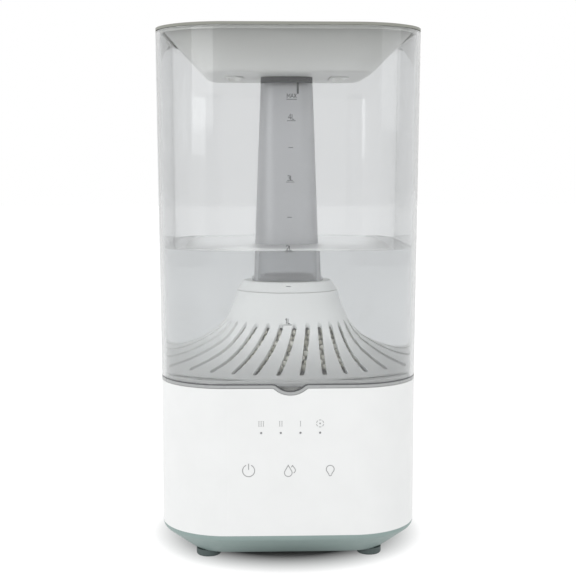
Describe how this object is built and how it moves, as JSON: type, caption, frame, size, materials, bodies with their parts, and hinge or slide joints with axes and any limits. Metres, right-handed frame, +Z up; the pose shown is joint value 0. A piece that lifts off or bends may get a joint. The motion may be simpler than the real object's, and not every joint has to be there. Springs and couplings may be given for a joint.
{
  "type": "cool mist humidifier",
  "caption": "Square upright top-fill humidifier: clear lift-off water tank with bell filter and mist tube, funnel lid with turning nozzle, white base with touch icons and blower.",
  "frame": {"origin": "on the surface it stands on, under the centre of the object", "axes": "+Z up, -Y to the front with the touch icons, +X to the viewer's right"},
  "size_m": [0.17, 0.17, 0.3403],
  "materials": {
    "white_plastic": "satin",
    "sage_plastic": "satin",
    "foot_rubber": "matte",
    "clear_smoke": "clear",
    "smoke_floor": "satin",
    "smoke_tube": "frosted",
    "filter_white": "matte",
    "ceramic": "matte",
    "dark_silicone": "matte",
    "pale_silicone": "matte",
    "steel": "brushed",
    "brass_disc": "satin",
    "ferrite": "matte",
    "board_green": "satin",
    "black_plastic": "matte",
    "sink_aluminium": "anodised",
    "copper_wire": "varnished",
    "clear_lens": "clear",
    "lamp_white": "satin",
    "foam_grey": "matte",
    "band_grey": "matte"
  },
  "bodies": {
    "base": {"base_housing": "white_plastic", "base_pan": "sage_plastic", "feet": "foot_rubber", "pan_screws": "steel", "basin": "white_plastic", "deck_gasket": "pale_silicone", "transducer_disc": "brass_disc", "transducer_seal": "dark_silicone", "transducer_retainer": "black_plastic", "transducer_screws": "steel", "float_clip": "white_plastic", "reed_switch": "black_plastic", "blower_case": "black_plastic", "blower_cover": "black_plastic", "blower_motor": "steel", "air_duct": "white_plastic", "driver_board": "board_green", "heat_sink": "sink_aluminium", "capacitors": "black_plastic", "choke": "copper_wire", "connectors": "white_plastic", "touch_board": "board_green", "touch_pads": "foam_grey", "indicator_leds": "lamp_white", "light_pipes": "clear_lens", "board_screws": "steel", "light_lens": "clear_lens", "light_board": "board_green", "light_leds": "lamp_white", "power_socket": "black_plastic", "socket_pin": "steel"},
    "tank": {"tank_shell": "clear_smoke", "tank_floor": "smoke_floor", "tank_gasket": "dark_silicone", "filter_cover": "filter_white", "filter_collar": "filter_white", "filter_core": "filter_white", "ceramic_beads": "ceramic"},
    "lid": {"lid": "white_plastic", "lid_band": "band_grey", "tube_seal": "dark_silicone", "mist_tube": "smoke_tube"},
    "nozzle": {"mist_nozzle": "white_plastic"},
    "valve": {"valve_plunger": "white_plastic", "valve_seal": "dark_silicone", "valve_clip": "white_plastic", "valve_spring": "steel"},
    "float": {"float": "white_plastic", "float_magnet": "ferrite"},
    "wheel": {"blower_wheel": "black_plastic"}
  },
  "joints": [
    {"name": "tank_lift", "type": "slide", "parent": "base", "child": "tank", "axis": [0, 0, 1], "range_m": [0, 0.09]},
    {"name": "lid_lift", "type": "slide", "parent": "tank", "child": "lid", "axis": [0, 0, 1], "range_m": [0, 0.17]},
    {"name": "nozzle_turn", "type": "hinge", "parent": "lid", "child": "nozzle", "pos_m": [0, 0, 0.3183], "axis": [0, 0, 1], "continuous": true},
    {"name": "valve_close", "type": "slide", "parent": "tank", "child": "valve", "axis": [0, 0, 1], "range_m": [-0.003, 0], "deforming": ["valve_spring"]},
    {"name": "float_rise", "type": "slide", "parent": "base", "child": "float", "axis": [0, 0, 1], "range_m": [0, 0.008]},
    {"name": "wheel_spin", "type": "hinge", "parent": "base", "child": "wheel", "pos_m": [-0.031, 0.048, 0.036], "axis": [0, 1, 0], "continuous": true}
  ],
  "couplings": [
    {"joint": "valve_close", "follows": "tank_lift", "ratio": -0.0333}
  ]
}
